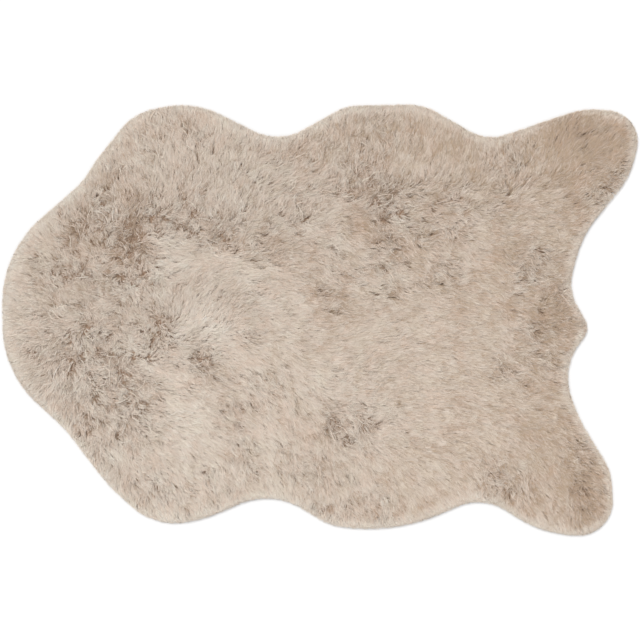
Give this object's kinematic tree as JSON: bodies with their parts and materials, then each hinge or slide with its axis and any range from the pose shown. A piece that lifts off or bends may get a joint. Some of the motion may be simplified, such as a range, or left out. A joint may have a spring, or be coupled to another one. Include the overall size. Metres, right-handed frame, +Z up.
{
  "type": "sheepskin rug",
  "caption": "Large hide-shaped sheepskin rug with a long, combed wool pile and a flat leather underside.",
  "frame": {"origin": "on the floor, under the middle of the rug's box", "axes": "+X along the rug's length, from the head end to the tail; +Y across the rug, towards one side's legs; +Z up, from the leather side to the wool"},
  "size_m": [2.7538, 1.87, 0.04],
  "materials": {
    "fleece": "long, soft taupe wool, combed into waves and partings, with a low sheen"
  },
  "bodies": {
    "root": {"fleece_hide": "fleece"}
  },
  "joints": []
}
